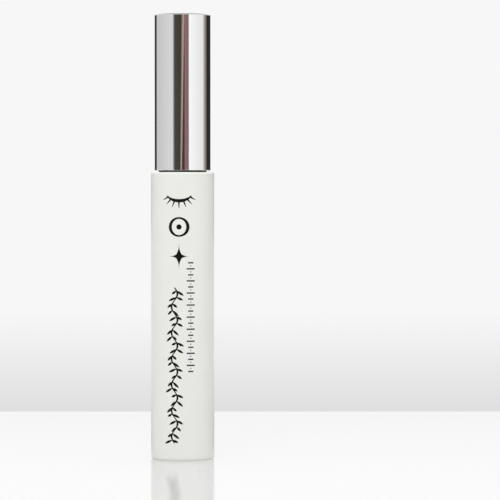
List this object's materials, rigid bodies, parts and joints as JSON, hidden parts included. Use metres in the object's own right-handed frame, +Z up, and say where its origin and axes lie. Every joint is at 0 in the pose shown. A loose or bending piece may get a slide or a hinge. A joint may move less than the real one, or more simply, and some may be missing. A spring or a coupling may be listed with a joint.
{
  "type": "mascara tube",
  "caption": "Slim round mascara tube: white satin sleeve over a threaded vial, mirror-bright screw cap, and a wand with a curved twisted-wire brush that draws out through a wiper.",
  "frame": {"origin": "centre of the flat base, on the surface that the tube stands on", "axes": "+Z up along the tube's axis, from the base to the top of the cap; the curve of the brush lies in the XZ plane, towards +X; -Y is the front"},
  "size_m": [0.0178, 0.0178, 0.125],
  "materials": {
    "sleeve_white": "satin white moulded plastic",
    "vial_plastic": "natural moulded plastic",
    "cap_chrome": "mirror bright",
    "wand_black": "black, semi-gloss",
    "ring_black": "dark grey-black, satin",
    "wiper_soft": "soft natural plastic",
    "washer_foam": "white closed-cell foam",
    "paste_black": "wet black paste",
    "wire_dark": "blackened steel wire",
    "bristle_black": "black nylon fibre"
  },
  "bodies": {
    "tube": {"outer_sleeve": "sleeve_white", "base_plug": "sleeve_white", "inner_vial": "vial_plastic", "wiper": "wiper_soft", "formula": "paste_black"},
    "collar": {"neck_ring": "ring_black"},
    "seal": {"sealing_washer": "washer_foam"},
    "applicator": {"cap_shell": "cap_chrome", "inner_cap": "wand_black", "wand_rod": "wand_black", "brush_wire": "wire_dark", "bristle_flight_a": "bristle_black", "bristle_flight_b": "bristle_black"}
  },
  "joints": [
    {"name": "cap_unscrew", "type": "hinge", "parent": "tube", "child": "collar", "pos_m": [0, 0, 0.0812], "axis": [0, 0, 1], "range_deg": [0, 540]},
    {"name": "wand_draw", "type": "slide", "parent": "collar", "child": "seal", "axis": [0, 0, 1], "range_m": [0, 0.091], "deforming": ["wiper", "bristle_flight_a", "bristle_flight_b"]},
    {"name": "cap_rise", "type": "slide", "parent": "seal", "child": "applicator", "axis": [0, 0, 1], "range_m": [0, 0.0045]}
  ],
  "couplings": [
    {"joint": "cap_rise", "follows": "cap_unscrew", "m_per_rad": 0.00047746}
  ]
}
